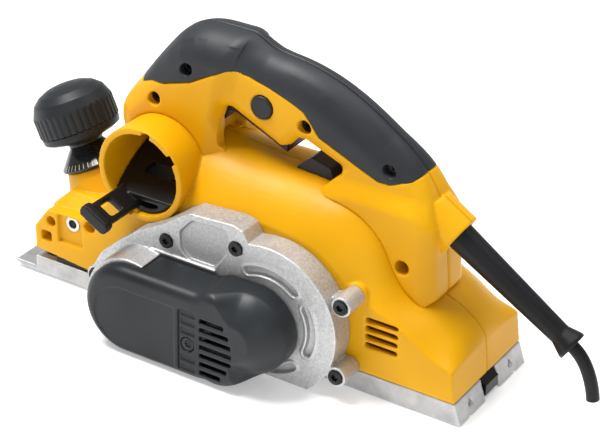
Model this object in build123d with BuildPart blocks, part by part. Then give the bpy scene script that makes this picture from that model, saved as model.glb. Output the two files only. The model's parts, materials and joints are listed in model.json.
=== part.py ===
from build123d import *
from math import atan2, cos, degrees, hypot, radians, sin, sqrt
import os

# Electric hand planer, millimetres. +X is the direction of travel, +Y the belt side, +Z up.
# The origin lies on the rear sole, halfway across its width.

os.makedirs("parts", exist_ok=True)

# ---------------------------------------------------------------- driving dimensions
HALF = 41.0                    # half of the 82 mm planing width
REAR = -90.0                   # rear end of the sole
NOSE = 230.0                   # front end of the sole
SHOE_TOP = 13.6                # height of the rear shoe
DEPTH = 2.0                    # planing depth set at rest, so the front shoe sits this high

DRUM_X, DRUM_Z = 112.0, 28.5   # cutter drum axis, parallel to Y
DRUM_R = 25.5
CUT_R = 28.45                  # circle swept by the blade edges
THROAT_R = 30.3                # clearance cut around the drum
DRUM_LEFT = 40.0
DRUM_RIGHT = -36.0

MOTOR_X, MOTOR_Z = 31.0, 38.0  # motor axis, parallel to Y
MOTOR_CAVITY_R = 42.0

PORT_X, PORT_Z = 127.0, 98.0   # chip port, a tube parallel to Y and open at both ends
PORT_R, PORT_BORE = 30.0, 26.0
PORT_END = 47.0
SOCKET_R, SOCKET_IN = 27.0, -30.0   # seat for a hose end in the right-hand end of the port

KNOB_TILT = 24.8               # forward lean of the depth knob's axis
KNOB_X, KNOB_Z = 197.2, 66.7   # foot of the knob's scale skirt
KNOB_R = 26.0
SCREW_R = 5.0

PLATE_IN, PLATE_OUT = 41.2, 58.0   # die-cast side plate, inner and outer faces
PLATE_R = 47.5
COVER_OUT = 87.0               # outer face of the belt cover
BELT_IN, BELT_OUT = 64.0, 76.0
DRUM_PULLEY_R, MOTOR_PULLEY_R = 17.0, 12.0
BELT_THICK = 2.2

HANDLE_W = 17.5                # half thickness of the grip
FRONT_W = 23.0                 # half thickness of the handle's wide front end
GRIP_SKIN = 2.6                # thickness of the rubber overmould
SEAM = 0.05                    # half of the gap between two moulded halves

CORD_X, CORD_Z = -61.5, 96.5   # where the cord guard leaves the handle
CORD_SLOPE = 32.4              # fall of the guard below the horizontal
CORD_R, GUARD_R = 3.9, 8.6
LOCK_X, LOCK_Z, LOCK_R = 61.5, 149.0, 7.2
TRIGGER_PIVOT = (52.0, 132.0)
TRIGGER_W, TRIGGER_PIN_R, PIN_REACH = 10.5, 2.0, 14.0
# side view of the trigger, from its rear lip along the finger face to the hooked front
TRIGGER_EDGE = [(48, 121.5), (84, 137.2), (88.5, 136.8), (91.5, 130.5), (94.5, 131), (94.5, 137), (91, 142),
                (82, 142.5), (54, 142), (46.5, 138)]
LEVER_END = 73.0               # how far the diverter's lever reaches from the centre plane
FOOT_X, FOOT_Z, FOOT_PIN_R = -66.0, 8.0, 2.0
RUN = 0.03                     # radial clearance of a running shaft


# ---------------------------------------------------------------- helpers
def side(y):
    """XZ plane at this Y. An extrusion from it runs towards -Y."""
    return Plane.XZ.offset(-y)


def along(x, z, y=0.0, lean=0.0):
    """Plane whose normal is the knob axis, or another axis leaning forward by `lean` degrees."""
    a = radians(lean)
    return Plane(origin=(x, y, z), x_dir=(cos(a), 0, -sin(a)), z_dir=(sin(a), 0, cos(a)))


def rod(x, z, r, low, high):
    """Cylinder parallel to Y, for use as a private tool."""
    return Pos(x, (low + high) / 2, z) * Rot(90, 0, 0) * Cylinder(r, high - low, mode=Mode.PRIVATE)


def block(x0, x1, y0, y1, z0, z1):
    """Box between two corners, for use as a private tool."""
    middle = Pos((x0 + x1) / 2, (y0 + y1) / 2, (z0 + z1) / 2)
    return middle * Box(x1 - x0, y1 - y0, z1 - z0, mode=Mode.PRIVATE)


def save(piece, name):
    piece.part.label = name
    export_step(piece.part, f"parts/{name}.step")


def knob_point(up):
    """Point on the knob axis, `up` millimetres above the foot of the skirt."""
    a = radians(KNOB_TILT)
    return KNOB_X + up * sin(a), KNOB_Z + up * cos(a)


def knob_plane(up):
    x, z = knob_point(up)
    return along(x, z, lean=KNOB_TILT)


LEFT_HALF = block(-200, 300, SEAM, 100, -20, 220)
RIGHT_HALF = block(-200, 300, -100, -SEAM, -20, 220)

FENCE_X, FENCE_Z = 185.5, 42.5   # threaded insert for the side fence
INSERT_R, FENCE_THREAD_R = 5.0, 3.0
COVER_SCREW = (65.2, 24.0)
HOOD_X, HOOD_R, HOOD_OUT = 113.0, 31.0, 77.5
PLATE_SCREWS = [(100.0, 68.0), (51.5, 78.5), (-19.0, 63.5), (-17.5, 16.5), (153.0, 27.0)]
REAR_SCREWS = PLATE_SCREWS[2:4]
FRONT_SCREWS = [(111, 162), (134, 137)]
GRIP_SCREWS = [(33, 144), (-24, 134), (-37, 78)]
FRONT_HEAD_Y, GRIP_HEAD_Y = 18.0, 12.5   # tops of the screw heads in the handle
SCREW_HEAD_R = 4.4

# ---------------------------------------------------------------- shoes
with BuildPart() as rear_shoe:
    with BuildSketch(side(HALF)):
        with BuildLine():
            Polyline((REAR, 0), (DRUM_X, 0), (DRUM_X, SHOE_TOP), (REAR + 4.6, SHOE_TOP), close=True)
        make_face()
    extrude(amount=2 * HALF)
    add(rod(DRUM_X, DRUM_Z, THROAT_R, -60, 60), mode=Mode.SUBTRACT)
    # slot for the parking foot, and the shallow drainage grooves beside it
    add(block(REAR - 5, REAR + 31, -9, 9, -5, 20), mode=Mode.SUBTRACT)
    for y in (-27.5, 27.5):
        add(block(REAR - 5, 120, y - 1.6, y + 1.6, -5, 0.9), mode=Mode.SUBTRACT)
    # triangular core-outs in the rear face
    for y in (-24.5, 24.5):
        with BuildSketch(Plane.YZ.offset(REAR - 1)):
            with Locations((y, 7.2)):
                Triangle(a=5.5, b=5.5, c=5.5)
        extrude(amount=6, mode=Mode.SUBTRACT)
    add(rod(FOOT_X, FOOT_Z, FOOT_PIN_R, -20, 20), mode=Mode.SUBTRACT)
    # weight-saving pockets under the housing
    add(block(-50, -12, -33, 33, 4, 20), mode=Mode.SUBTRACT)
    add(block(-6, 70, -36, HALF + 1, 4, 20), mode=Mode.SUBTRACT)
save(rear_shoe, "rear_shoe")

SHOE_Z = DEPTH                 # underside of the front shoe at rest
SHOE_SIDE = 213.5              # where the side wall stops and the nose flange begins
BOSS_R = 9.0
GUIDE_Y, GUIDE_R = 27.0, 3.0
screw_foot = along(172.4 - 0.46, 12.0, lean=KNOB_TILT)

with BuildPart() as front_shoe:
    with BuildSketch(side(HALF)):
        with BuildLine():
            Polyline(
                (DRUM_X, SHOE_Z), (NOSE - 4, SHOE_Z), (NOSE, SHOE_Z + 1.4), (NOSE, SHOE_Z + 3.2),
                (SHOE_SIDE, SHOE_Z + 3.2), (SHOE_SIDE, SHOE_Z + 10.8), (DRUM_X, SHOE_Z + 11.1),
                close=True,
            )
        make_face()
    extrude(amount=2 * HALF)
    for lift in (-2.2, 2.2):
        foot = DRUM_Z - lift * cos(radians(KNOB_TILT))
        across = DRUM_X - lift * sin(radians(KNOB_TILT))
        add(rod(across, foot, THROAT_R, -60, 60), mode=Mode.SUBTRACT)
    # pocketed top, leaving walls and the web that carries the depth screw
    for x0, x1 in ((146, 159), (186, SHOE_SIDE - 4)):
        add(block(x0, x1, -35, 35, SHOE_Z + 4, 30), mode=Mode.SUBTRACT)
    # V grooves that hold a corner while it is chamfered
    for y, w in ((0, 4.5), (-22, 3.0), (22, 3.0)):
        with BuildSketch(Plane.YZ.offset(NOSE + 1)):
            with BuildLine():
                Polyline((y - w, SHOE_Z - 0.01), (y + w, SHOE_Z - 0.01), (y, SHOE_Z + w * 0.6), close=True)
            make_face()
        extrude(amount=-120, mode=Mode.SUBTRACT)
    with BuildSketch(screw_foot):
        Circle(BOSS_R)
    extrude(amount=13)
    with BuildSketch(screw_foot.offset(-3)):
        Circle(SCREW_R + RUN)
    extrude(amount=30, mode=Mode.SUBTRACT)
    with Locations([along(172.0, 8.0, y, KNOB_TILT) for y in (-GUIDE_Y, GUIDE_Y)]):
        Hole(GUIDE_R, depth=30)
save(front_shoe, "front_shoe")

with BuildPart() as guide_pins:
    for y in (-GUIDE_Y, GUIDE_Y):
        with BuildSketch(along(172.0, 8.0, y, KNOB_TILT)):
            Circle(GUIDE_R)
        extrude(amount=26)
    chamfer(guide_pins.faces().group_by(Axis.Z)[-1].edges(), 0.6)
save(guide_pins, "guide_pins")

# ---------------------------------------------------------------- cutter drum
SLOT_ANGLES = (62, 242)


def blade_plane(angle):
    """Plane through the drum axis with local x pointing outward at this angle."""
    a = radians(angle)
    return Plane(origin=(DRUM_X, 0, DRUM_Z), x_dir=(cos(a), 0, sin(a)), z_dir=(0, 1, 0))


with BuildPart() as cutter_drum:
    add(rod(DRUM_X, DRUM_Z, DRUM_R, DRUM_RIGHT, DRUM_LEFT))
    add(rod(DRUM_X, DRUM_Z, 15, DRUM_RIGHT - 1, DRUM_RIGHT + 10), mode=Mode.SUBTRACT)
    add(rod(DRUM_X, DRUM_Z, 4, -37.4, DRUM_RIGHT + 11))
    add(rod(DRUM_X, DRUM_Z, 9, DRUM_LEFT - 1, 47.6))
    add(rod(DRUM_X, DRUM_Z, 6, 46, 79.5))
    for angle in SLOT_ANGLES:
        with BuildSketch(blade_plane(angle).offset(DRUM_RIGHT - 1)):
            with BuildLine():
                Polyline((18, -7), (30, -7), (30, 2), (18, 2), close=True)
            make_face()
        extrude(amount=DRUM_LEFT - DRUM_RIGHT + 2, mode=Mode.SUBTRACT)
save(cutter_drum, "cutter_drum")

with BuildPart() as planer_blades:
    for angle in SLOT_ANGLES:
        with BuildSketch(blade_plane(angle).offset(DRUM_RIGHT)):
            with BuildLine():
                Polyline(
                    (19, 0.8), (CUT_R - 1.4, 0.8), (CUT_R, 1.9), (CUT_R - 0.2, 2.0), (19, 2.0), close=True
                )
            make_face()
        extrude(amount=DRUM_LEFT - DRUM_RIGHT)
save(planer_blades, "planer_blades")

with BuildPart() as blade_clamps:
    for angle in SLOT_ANGLES:
        with BuildSketch(blade_plane(angle).offset(DRUM_RIGHT + 0.5)):
            with BuildLine():
                Polyline((18.1, -6.9), (23.4, -6.9), (25.2, -3), (25.0, 0.7), (18.1, 0.7), close=True)
            make_face()
        extrude(amount=DRUM_LEFT - DRUM_RIGHT - 1)
        for y in (-22, 2, 26):
            seat = Plane(
                origin=blade_plane(angle).offset(y).from_local_coords((26, -3.4, 0)),
                x_dir=(0, 1, 0),
                z_dir=blade_plane(angle).x_dir,
            )
            with Locations(seat):
                Hole(2.5, depth=20)
save(blade_clamps, "blade_clamps")

with BuildPart() as clamp_screws:
    for angle in SLOT_ANGLES:
        for y in (-22, 2, 26):
            start = blade_plane(angle).offset(y).from_local_coords((18.2, -3.4, 0))
            with BuildSketch(Plane(origin=start, x_dir=(0, 1, 0), z_dir=blade_plane(angle).x_dir)):
                Circle(2.4)
                RegularPolygon(1.3, 6, mode=Mode.SUBTRACT)
            extrude(amount=6.0)
save(clamp_screws, "clamp_screws")


def bearing(x, z, bore, outer, low, high):
    """Ball bearing drawn as a closed ring with the gap between its races cut in both faces."""
    width = high - low
    middle = (bore + outer) / 2
    with BuildPart() as ring:
        with BuildSketch(side(high)):
            with Locations((x, z)):
                Circle(outer)
                Circle(bore, mode=Mode.SUBTRACT)
        extrude(amount=width)
        for y, depth in ((high, 0.8), (low + 0.8, 0.8)):
            with BuildSketch(side(y)):
                with Locations((x, z)):
                    Circle(middle + 1.2)
                    Circle(middle - 1.2, mode=Mode.SUBTRACT)
            extrude(amount=depth, mode=Mode.SUBTRACT)
    return ring


BEARING_Y = (47.8, 56.8)       # both left bearings sit in the side plate
drum_bearing_left = bearing(DRUM_X, DRUM_Z, 6 + RUN, 14, *BEARING_Y)
save(drum_bearing_left, "drum_bearing_left")
drum_bearing_right = bearing(DRUM_X, DRUM_Z, 4 + RUN, 11, -37.5, -30.5)
save(drum_bearing_right, "drum_bearing_right")
motor_bearing_left = bearing(MOTOR_X, MOTOR_Z, 5 + RUN, 13, *BEARING_Y)
save(motor_bearing_left, "motor_bearing_left")
motor_bearing_right = bearing(MOTOR_X, MOTOR_Z, 4 + RUN, 11, -37.5, -30.5)
save(motor_bearing_right, "motor_bearing_right")

# ---------------------------------------------------------------- belt drive


def pulley(x, z, r, bore):
    """Grooved belt pulley with a flange at each end."""
    with BuildPart() as wheel:
        add(rod(x, z, r, BELT_IN - 0.5, BELT_OUT + 0.5))
        add(rod(x, z, r + 1.4, BELT_IN - 2.0, BELT_IN - 0.5))
        add(rod(x, z, r + 1.4, BELT_OUT + 0.5, BELT_OUT + 2.0))
        for y in (66.5, 70.0, 73.5):
            with BuildSketch(side(y + 0.7)):
                with Locations((x, z)):
                    Circle(r + 0.5)
                    Circle(r - 0.8, mode=Mode.SUBTRACT)
            extrude(amount=1.4, mode=Mode.SUBTRACT)
        add(rod(x, z, bore, 50, 90), mode=Mode.SUBTRACT)
    return wheel


drum_pulley = pulley(DRUM_X, DRUM_Z, DRUM_PULLEY_R, 6)
save(drum_pulley, "drum_pulley")
motor_pulley = pulley(MOTOR_X, MOTOR_Z, MOTOR_PULLEY_R, 5)
save(motor_pulley, "motor_pulley")

with BuildPart() as drive_belt:
    with BuildSketch(side(BELT_OUT)) as belt_sketch:
        for grow, mode in ((BELT_THICK, Mode.ADD), (0.12, Mode.SUBTRACT)):
            with BuildSketch(side(BELT_OUT), mode=Mode.PRIVATE) as loop:
                with Locations((DRUM_X, DRUM_Z)):
                    Circle(DRUM_PULLEY_R + grow)
                with Locations((MOTOR_X, MOTOR_Z)):
                    Circle(MOTOR_PULLEY_R + grow)
                make_hull()
            add(loop.sketch_local, mode=mode)
    extrude(amount=BELT_OUT - BELT_IN)
save(drive_belt, "drive_belt")

# ---------------------------------------------------------------- motor
with BuildPart() as armature_shaft:
    add(rod(MOTOR_X, MOTOR_Z, 4, -39.5, -24))
    add(rod(MOTOR_X, MOTOR_Z, 5, -24, 79.0))
save(armature_shaft, "armature_shaft")

with BuildPart() as armature_core:
    with BuildSketch(side(18)):
        with Locations((MOTOR_X, MOTOR_Z)):
            Circle(18.4)
            Circle(5, mode=Mode.SUBTRACT)
            with PolarLocations(17.4, 12):
                Rectangle(3.0, 1.8, mode=Mode.SUBTRACT)
    extrude(amount=34)
save(armature_core, "armature_core")

with BuildPart() as armature_windings:
    for low, high in ((18.02, 27), (-23.9, -16.02)):
        with BuildSketch(side(high)):
            with Locations((MOTOR_X, MOTOR_Z)):
                Circle(16)
                Circle(5, mode=Mode.SUBTRACT)
        extrude(amount=high - low)
    fillet(armature_windings.edges().filter_by(GeomType.CIRCLE).group_by(SortBy.RADIUS)[-1], 2.5)
save(armature_windings, "armature_windings")

with BuildPart() as commutator:
    with BuildSketch(side(-24.0)):
        with Locations((MOTOR_X, MOTOR_Z)):
            Circle(11)
            Circle(4, mode=Mode.SUBTRACT)
            with PolarLocations(10.8, 24):
                Rectangle(1.6, 0.5, mode=Mode.SUBTRACT)
    extrude(amount=6.5)
save(commutator, "commutator")

with BuildPart() as stator_core:
    with BuildSketch(side(18)):
        with Locations((MOTOR_X, MOTOR_Z)):
            RectangleRounded(70, 44, 14)
            Circle(19.2, mode=Mode.SUBTRACT)
            with PolarLocations(24.5, 2):
                Rectangle(7, 25, mode=Mode.SUBTRACT)
    extrude(amount=34)
save(stator_core, "stator_core")

with BuildPart() as field_coils:
    for low, high in ((18.05, 26), (-23, -16.05)):
        with BuildSketch(side(high)):
            with Locations((MOTOR_X, MOTOR_Z)):
                with PolarLocations(24.5, 2):
                    RectangleRounded(6.4, 30, 3)
        extrude(amount=high - low)
    with BuildSketch(side(18.05)):
        with Locations((MOTOR_X, MOTOR_Z)):
            with PolarLocations(24.5, 2):
                Rectangle(6.4, 24.4)
    extrude(amount=18.05 + 16.05)
save(field_coils, "field_coils")

FAN_LOW, FAN_HIGH = 29.0, 38.5
with BuildPart() as cooling_fan:
    add(rod(MOTOR_X, MOTOR_Z, 32, FAN_HIGH - 1.6, FAN_HIGH))
    add(rod(MOTOR_X, MOTOR_Z, 9, FAN_LOW, FAN_HIGH))
    with BuildSketch(side(FAN_HIGH - 1)):
        with Locations((MOTOR_X, MOTOR_Z)):
            with PolarLocations(20, 16):
                Rectangle(22, 1.5, rotation=18)
    extrude(amount=FAN_HIGH - 1 - FAN_LOW)
    add(rod(MOTOR_X, MOTOR_Z, 5, 0, 60), mode=Mode.SUBTRACT)
save(cooling_fan, "cooling_fan")

BRUSH_Y = -27.3
with BuildPart() as brush_holders:
    for sign in (-1, 1):
        with BuildSketch(Plane.YZ.offset(MOTOR_X + sign * 12.5)):
            with Locations((BRUSH_Y, MOTOR_Z)):
                Rectangle(6.2, 11)
                Rectangle(4.2, 8.2, mode=Mode.SUBTRACT)
        extrude(amount=sign * 22)
save(brush_holders, "brush_holders")

with BuildPart() as carbon_brushes:
    for sign in (-1, 1):
        with BuildSketch(Plane.YZ.offset(MOTOR_X + sign * 11.15)):
            with Locations((BRUSH_Y, MOTOR_Z)):
                Rectangle(4.0, 8.0)
        extrude(amount=sign * 13)
save(carbon_brushes, "carbon_brushes")


def coil(start, direction, radius, wire, pitch, height):
    """Helical compression spring from `start` along `direction`."""
    with BuildPart() as spring:
        with BuildLine() as path:
            Helix(pitch=pitch, height=height, radius=radius, center=start, direction=direction)
        with BuildSketch(Plane(origin=path.line @ 0, z_dir=path.line % 0)):
            Circle(wire)
        sweep(path=path.line, is_frenet=True)
    return spring


with BuildPart() as brush_springs:
    for sign in (-1, 1):
        add(coil((MOTOR_X + sign * 24.7, BRUSH_Y, MOTOR_Z), (sign, 0, 0), 1.3, 0.3, 1.5, 9.0).part)
save(brush_springs, "brush_springs")

# ---------------------------------------------------------------- side plate
TOP_WEB = [(43, 84), (47, 91), (54, 93), (84, 91), (92, 86), (103, 78), (121, 68), (135, 57),
           (148, 45), (155, 33), (157.5, 20), (153, 8), (143, 2.5), (DRUM_X, 0.6), (MOTOR_X, 0.6)]
SLOT_MID, SLOT_HALF, SLOT_LIP = 31.5, 2.6, 1.5
SLOT_SPANS = ((68, 128), (150, 203), (232, 262))


def arc_slot(start, stop, half):
    """Slot with round ends, bent round the motor axis between two angles in degrees."""
    with BuildLine() as edge:
        for r in (SLOT_MID + half, SLOT_MID - half):
            CenterArc((MOTOR_X, MOTOR_Z), r, start, stop - start)
        for turn, opens in ((start, start + 180), (stop, stop)):
            middle = (MOTOR_X + SLOT_MID * cos(radians(turn)), MOTOR_Z + SLOT_MID * sin(radians(turn)))
            CenterArc(middle, half, opens, 180)
    make_face(edge.edges())


def rounded(points, r, mode=Mode.ADD):
    """Closed face with every corner rounded, added to the sketch being built."""
    with BuildLine() as outline:
        FilletPolyline(*points, radius=r, close=True)
    make_face(outline.edges(), mode=mode)


def plate_outline():
    """Outline of the side plate: a disc round the motor run into a web round the drum."""
    with Locations((MOTOR_X, MOTOR_Z)):
        Circle(PLATE_R)
    rounded([*TOP_WEB, (MOTOR_X, 60)], 2)
    with Locations((MOTOR_X, -60 + 0.6)):
        Rectangle(140, 120, mode=Mode.SUBTRACT)


with BuildPart() as side_plate:
    with BuildSketch(side(PLATE_OUT)):
        plate_outline()
    extrude(amount=PLATE_OUT - PLATE_IN)
    # hollow behind the front web
    with BuildSketch(side(54.0)):
        with Locations((MOTOR_X, MOTOR_Z)):
            Circle(PLATE_R - 4)
        rounded([(44, 78), (50, 86), (82, 85), (96, 76), (118, 62), (130, 46), (134, 20),
                 (DRUM_X, 5), (40, 5)], 3)
        with Locations((MOTOR_X, -60 + 4.5)):
            Rectangle(140, 120, mode=Mode.SUBTRACT)
    extrude(amount=54.0 - PLATE_IN + 1, mode=Mode.SUBTRACT)
    # seats of the two left bearings
    for x, z, outer, wall in ((DRUM_X, DRUM_Z, 14, 5), (MOTOR_X, MOTOR_Z, 13, 4)):
        add(rod(x, z, outer + wall, BEARING_Y[0] - 0.8, 55))
        add(rod(x, z, outer, BEARING_Y[0] - 2, BEARING_Y[1]), mode=Mode.SUBTRACT)
        add(rod(x, z, outer - 4, BEARING_Y[0] - 2, PLATE_OUT + 5), mode=Mode.SUBTRACT)
    # hood over the front of the belt cover
    with BuildSketch(side(HOOD_OUT)):
        with Locations((HOOD_X, DRUM_Z)):
            Circle(HOOD_R)
            Circle(HOOD_R - 3.6, mode=Mode.SUBTRACT)
        with BuildLine():
            Polyline((HOOD_X, DRUM_Z), (DRUM_X + 60, -4), (60, -60), (20, 30), (94, 90), close=True)
        make_face(mode=Mode.SUBTRACT)
    extrude(amount=HOOD_OUT - PLATE_OUT + 1)
    # arc-shaped troughs, each with a raised lip
    for start, stop in SLOT_SPANS:
        with BuildSketch(side(PLATE_OUT + 0.8)):
            arc_slot(start, stop, SLOT_HALF + SLOT_LIP)
        extrude(amount=1.2)
        with BuildSketch(side(PLATE_OUT + 1)):
            arc_slot(start, stop, SLOT_HALF)
        extrude(amount=4, mode=Mode.SUBTRACT)
    # dished pocket above the belt cover, and the ledge the cover's top edge sits under
    with BuildSketch(side(PLATE_OUT + 1)):
        rounded([(57, 74), (57, 88), (82, 87), (91, 77), (90, 65), (84, 60.5), (66, 60.5)], 5)
    extrude(amount=3.6, mode=Mode.SUBTRACT)
    with BuildSketch(side(PLATE_OUT + 1.4)):
        rounded([(65, 58.4), (112, 58.7), (112, 60.4), (65, 60.1)], 0.7)
    extrude(amount=2)
    # screw bosses and their holes
    for x, z in PLATE_SCREWS:
        add(rod(x, z, 6.2, PLATE_IN, PLATE_OUT))
    for x, z in REAR_SCREWS:
        with BuildSketch(side(PLATE_OUT - 7)):
            lean = degrees(atan2(MOTOR_Z - z, MOTOR_X - x))
            with Locations(Location((x, z), lean)):
                Rectangle(16, 9, align=(Align.MIN, Align.CENTER))
        extrude(amount=PLATE_OUT - 7 - PLATE_IN)
    for x, z in PLATE_SCREWS:
        add(rod(x, z, SCREW_HEAD_R + 0.1, PLATE_OUT - 1.6, PLATE_OUT + 5), mode=Mode.SUBTRACT)
        add(rod(x, z, 2.1, 30, 70), mode=Mode.SUBTRACT)
    add(rod(PORT_X, PORT_Z, PORT_R + 0.3, 30, PORT_END + 1), mode=Mode.SUBTRACT)
    add(rod(PORT_X, PORT_Z, PORT_R - 2, 30, 80), mode=Mode.SUBTRACT)
    # pillar that takes the belt cover's screw
    add(rod(*COVER_SCREW, 4.0, 52, 80))
    add(rod(*COVER_SCREW, 1.7, 56, 90), mode=Mode.SUBTRACT)
    with BuildSketch(side(PLATE_OUT + 10)):
        with Locations((MOTOR_X, -60 + 0.6)):
            Rectangle(400, 120)
    extrude(amount=60, mode=Mode.SUBTRACT)
save(side_plate, "side_plate")


def screws(places, outer_y, length, head_r=SCREW_HEAD_R, shank=2.0, head=2.8):
    """Pan-head screws along Y with a star recess, driven from the +Y side."""
    with BuildPart() as group:
        for x, z in places:
            add(rod(x, z, head_r, outer_y - head, outer_y))
            add(rod(x, z, shank, outer_y - length, outer_y - head))
            with BuildSketch(side(outer_y)):
                with Locations((x, z)):
                    with PolarLocations(head_r * 0.36, 6):
                        Circle(head_r * 0.16)
                    Circle(head_r * 0.38)
            extrude(amount=head * 0.6, mode=Mode.SUBTRACT)
    return group


plate_screws = screws(PLATE_SCREWS, PLATE_OUT + 1.2, 24)
save(plate_screws, "plate_screws")

# ---------------------------------------------------------------- belt cover
COVER_LOW, COVER_R, COVER_WALL = 0.7, 28.6, 2.6

# outline of the cover: a stadium round both pulleys with a taller bulge at the motor end
with BuildSketch() as cover_tips:
    with Locations((DRUM_X, COVER_LOW + COVER_R), (62, COVER_LOW + COVER_R)):
        Circle(COVER_R)
    make_hull()

with BuildSketch() as cover_bulge:
    with Locations((34.5, 35.0)):
        Circle(26.5)
    with Locations((48, COVER_LOW + 22)):
        Circle(22)
    with Locations((50, 46.5)):
        Circle(15)
    make_hull()

with BuildSketch() as cover_face:
    add(cover_tips.sketch)
    add(cover_bulge.sketch)
    # opening out and back in again rounds the inside corners
    offset(amount=10)
    offset(amount=-10)

with BuildPart() as belt_cover:
    with BuildSketch(side(COVER_OUT)):
        add(cover_face.sketch)
    extrude(amount=COVER_OUT - PLATE_OUT - 0.9)
    fillet(belt_cover.faces().sort_by(Axis.Y)[-1].edges(), 6.5)
    with BuildSketch(side(COVER_OUT - COVER_WALL)):
        add(cover_face.sketch)
        offset(amount=-COVER_WALL)
    extrude(amount=COVER_OUT - PLATE_OUT, mode=Mode.SUBTRACT)
    # recess for the plain name panel
    with BuildSketch(side(COVER_OUT + 1)):
        with Locations((DRUM_X, COVER_LOW + 24.6)):
            Circle(20.4)
        rounded([(DRUM_X, COVER_LOW + 4.2), (DRUM_X, COVER_LOW + 45), (74.5, COVER_LOW + 45),
                 (74.5, COVER_LOW + 4.2)], 1.0)
    extrude(amount=1.7, mode=Mode.SUBTRACT)
    # groove and ladder of ribs beside the panel
    add(block(70.6, 72.0, COVER_OUT - 1.4, COVER_OUT + 1, 5, 46), mode=Mode.SUBTRACT)
    for z in (8, 14.5, 33, 39.5, 45):
        add(block(59.5, 70.0, COVER_OUT - 0.9, COVER_OUT + 1, z - 2.2, z + 2.2), mode=Mode.SUBTRACT)
    add(rod(*COVER_SCREW, 4.9, COVER_OUT - 1.8, COVER_OUT + 1), mode=Mode.SUBTRACT)
    add(rod(*COVER_SCREW, 1.9, 60, COVER_OUT + 1), mode=Mode.SUBTRACT)
    # cooling slots, cut off along an arc towards the rear
    for row in range(7):
        z = 8.0 + row * 5.8
        reach = sqrt(max(27.0**2 - (z - 26.5) ** 2, 1))
        add(block(62 - reach, 57.0, 70, COVER_OUT + 1, z - 1.5, z + 1.5), mode=Mode.SUBTRACT)
    # room for the hood of the side plate
    with BuildSketch(side(HOOD_OUT + 0.15)):
        with Locations((HOOD_X, DRUM_Z)):
            Circle(HOOD_R + 6)
            Circle(HOOD_R - 3.8, mode=Mode.SUBTRACT)
        with BuildLine():
            Polyline((HOOD_X, DRUM_Z), (DRUM_X + 60, -8), (60, -60), (20, 30), (90, 94), close=True)
        make_face(mode=Mode.SUBTRACT)
    extrude(amount=30, mode=Mode.SUBTRACT)
save(belt_cover, "belt_cover")

cover_screw = screws([COVER_SCREW], COVER_OUT - 0.6, 22, head_r=4.2, shank=1.6, head=1.1)
save(cover_screw, "cover_screw")

# ---------------------------------------------------------------- housing
# Height of the housing's top along its length, on the centre line, at the shoulder and at the flank.
SPINE = [(-82.5, 35), (-80, 41), (-70, 50), (-57, 56), (-44, 60), (-34, 68), (-24, 84), (-6, 103),
         (15, 110), (45, 113), (75, 116), (97, 119), (112, 118)]
SHOULDER = [(-82.5, 34.5), (-79.5, 38.5), (-70, 46), (-57, 54), (-44, 60), (-34, 70), (-24, 87), (-6, 102),
            (15, 106.5), (45, 108), (75, 108), (97, 108), (112, 104)]
FLANK = [(-82.5, 33), (-79, 34.5), (-70, 37), (-57, 45), (-44, 52), (-31, 57), (-18, 62), (-7, 72),
         (10, 83.5), (31, 88), (60, 89.5), (88, 88), (112, 78)]
BODY_FLOOR = 13.8
SHOULDER_Y = 24.0
BLOCK_END = 213.0              # front face of the front block
NOTCH_DEPTH = 4.0
RIM_NOTCHES = ((99, 6), (144, 6), (-64, 17))   # angle and width of the notches in the port's rim


def long_profile(top):
    """Closed side view of the housing under one of the height lines."""
    with BuildLine() as outline:
        Polyline(top[-1], (118, BODY_FLOOR), (-85.2, BODY_FLOOR), top[0])
        Spline(*top)
    make_face(outline.edges())


def inward(sign, depth):
    """Span in Y from one side face of the housing to this depth, lower bound first."""
    return sorted((sign * HALF, sign * (HALF - depth)))


def vents(x0, x1, heights, y0, y1):
    """Row of horizontal air slots with round ends, cut along Y."""
    with BuildSketch(side(y1)) as rows:
        with Locations([((x0 + x1) / 2, z) for z in heights]):
            SlotOverall(x1 - x0, 3.2)
    extrude(rows.sketch, amount=y1 - y0, mode=Mode.SUBTRACT)


with BuildPart() as housing_skin:
    for sign in (-1, 1):
        with BuildSketch(side(0)):
            long_profile(SPINE)
        with BuildSketch(side(sign * SHOULDER_Y)):
            long_profile(SHOULDER)
        with BuildSketch(side(sign * HALF)):
            long_profile(FLANK)
        loft()
    # web below the chip port, and the front block
    with BuildSketch(side(HALF)):
        with BuildLine():
            Polyline((100, BODY_FLOOR), (118, BODY_FLOOR), (170, 15), (BLOCK_END, 19), (BLOCK_END, 35),
                     (203, 48.5), (176, 50.5), (158, 66), (150, 90), (104, 92), close=True)
        make_face()
    extrude(amount=2 * HALF)
    # crown of the front block, rising to the knob's pedestal
    with BuildSketch(Plane.XY.offset(46)):
        with Locations((180, 0)):
            RectangleRounded(58, 74, 14)
    extrude(amount=11, taper=48)
    with BuildSketch(knob_plane(-30)):
        Circle(25)
    with BuildSketch(knob_plane(-1.2)):
        Circle(18)
    loft()
    add(rod(PORT_X, PORT_Z, PORT_R, -PORT_END, PORT_END))
    # rib that carries the rear screw boss
    for x, z, lift in ((*REAR_SCREWS[0], 0), (*REAR_SCREWS[1], 4)):
        add(rod(x, z + lift, 6.6, -HALF, HALF))
    add(block(-100, 250, -60, 60, -30, BODY_FLOOR), mode=Mode.SUBTRACT)
    with BuildSketch(side(60)):
        with BuildLine():
            Polyline((118, 0), (118, BODY_FLOOR), (170, 15), (240, 21.6), (240, 0), close=True)
        make_face()
    extrude(amount=120, mode=Mode.SUBTRACT)

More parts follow.
